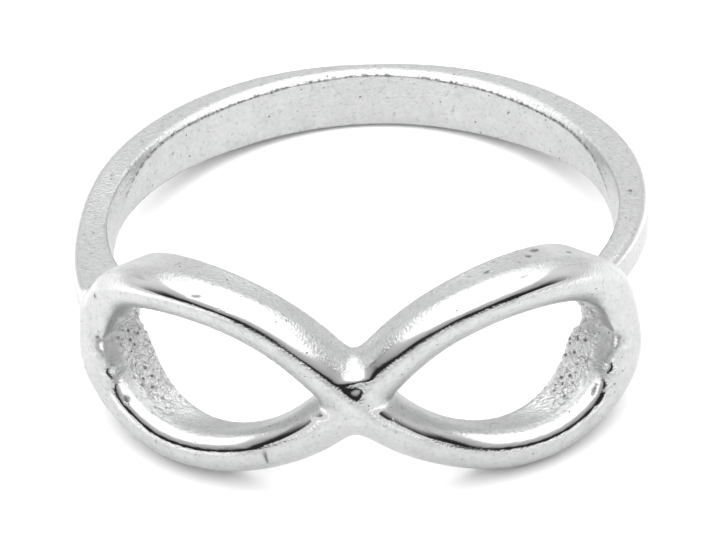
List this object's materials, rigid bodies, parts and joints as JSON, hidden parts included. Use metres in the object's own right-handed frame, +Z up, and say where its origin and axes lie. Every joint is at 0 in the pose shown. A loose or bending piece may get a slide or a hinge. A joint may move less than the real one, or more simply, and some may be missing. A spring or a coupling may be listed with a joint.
{
  "type": "infinity ring",
  "caption": "Silver finger ring whose front is an open figure eight that follows the finger hole, on a plain narrow shank.",
  "frame": {"origin": "centre of the ring's footprint, on the surface it lies on", "axes": "+Z up from the surface, -Y towards the figure eight at the front, +X to the right of a viewer who faces the figure eight"},
  "size_m": [0.0198, 0.0202, 0.0082],
  "materials": {
    "silver": "cast sterling silver, polished on the outer domes of the figure eight, satin elsewhere, with small casting pits"
  },
  "bodies": {
    "root": {"infinity_ring": "silver"}
  },
  "joints": []
}
